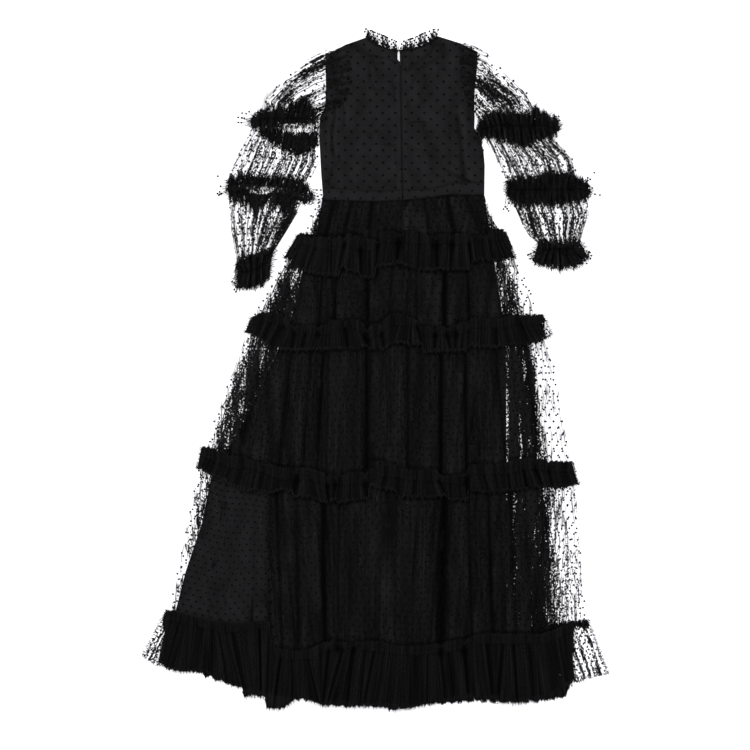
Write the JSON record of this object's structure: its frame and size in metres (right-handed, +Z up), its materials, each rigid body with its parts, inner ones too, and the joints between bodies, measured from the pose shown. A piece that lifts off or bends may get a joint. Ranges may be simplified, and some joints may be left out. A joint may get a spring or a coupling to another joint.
{
  "type": "ruffled net maxi dress",
  "caption": "Long dress of dotted net over a plain lining, with puffed sleeves, a gathered tiered skirt and pleated ruffles, laid flat on its front.",
  "frame": {"origin": "middle of the bounding box on the surface that the dress lies on", "axes": "+X across the dress as seen from above with its back up, +Y from the hem to the neck, +Z up out of its back"},
  "size_m": [1.076, 1.5782, 0.0195],
  "materials": {
    "dotted_net": "fine black net with flocked dots",
    "lining": "smooth dark woven lining",
    "pleated_net": "finely pleated black net",
    "waistband": "net over lining, stitched flat",
    "zip_tape": "woven black zip tape with its closed chain",
    "zip_metal": "black lacquered metal"
  },
  "bodies": {
    "dress": {"bodice_lining_back_left": "lining", "bodice_lining_back_right": "lining", "bodice_lining_front": "lining", "bodice_net_back_left": "dotted_net", "bodice_net_back_right": "dotted_net", "bodice_net_front": "dotted_net", "cuff_left_back": "pleated_net", "cuff_left_front": "pleated_net", "cuff_right_back": "pleated_net", "cuff_right_front": "pleated_net", "hem_ruffle_back": "pleated_net", "hem_ruffle_front": "pleated_net", "neck_frill_back_left": "dotted_net", "neck_frill_back_right": "dotted_net", "neck_frill_front": "dotted_net", "neck_hook": "zip_metal", "ruffle_1_back": "pleated_net", "ruffle_1_front": "pleated_net", "ruffle_2_back": "pleated_net", "ruffle_2_front": "pleated_net", "ruffle_3_back": "pleated_net", "ruffle_3_front": "pleated_net", "skirt_lining_back": "lining", "skirt_lining_front": "lining", "sleeve_left_lower_back": "dotted_net", "sleeve_left_lower_front": "dotted_net", "sleeve_left_mid_back": "dotted_net", "sleeve_left_mid_front": "dotted_net", "sleeve_left_ring_1_back": "pleated_net", "sleeve_left_ring_1_front": "pleated_net", "sleeve_left_ring_2_back": "pleated_net", "sleeve_left_ring_2_front": "pleated_net", "sleeve_left_upper_back": "dotted_net", "sleeve_left_upper_front": "dotted_net", "sleeve_right_lower_back": "dotted_net", "sleeve_right_lower_front": "dotted_net", "sleeve_right_mid_back": "dotted_net", "sleeve_right_mid_front": "dotted_net", "sleeve_right_ring_1_back": "pleated_net", "sleeve_right_ring_1_front": "pleated_net", "sleeve_right_ring_2_back": "pleated_net", "sleeve_right_ring_2_front": "pleated_net", "sleeve_right_upper_back": "dotted_net", "sleeve_right_upper_front": "dotted_net", "tier_1_back_left": "dotted_net", "tier_1_back_right": "dotted_net", "tier_1_front": "dotted_net", "tier_2_back": "dotted_net", "tier_2_front": "dotted_net", "tier_3_back": "dotted_net", "tier_3_front": "dotted_net", "tier_4_back": "dotted_net", "tier_4_front": "dotted_net", "waistband_back_left": "waistband", "waistband_back_right": "waistband", "waistband_front": "waistband", "zip_slider": "zip_metal", "zip_tape": "zip_tape"},
    "pull": {"zip_pull": "zip_metal"}
  },
  "joints": [
    {"name": "pull_hinge", "type": "hinge", "parent": "dress", "child": "pull", "pos_m": [0.05743, 0.7036, 0.0082], "axis": [1, 0, 0], "range_deg": [0, 150]}
  ]
}
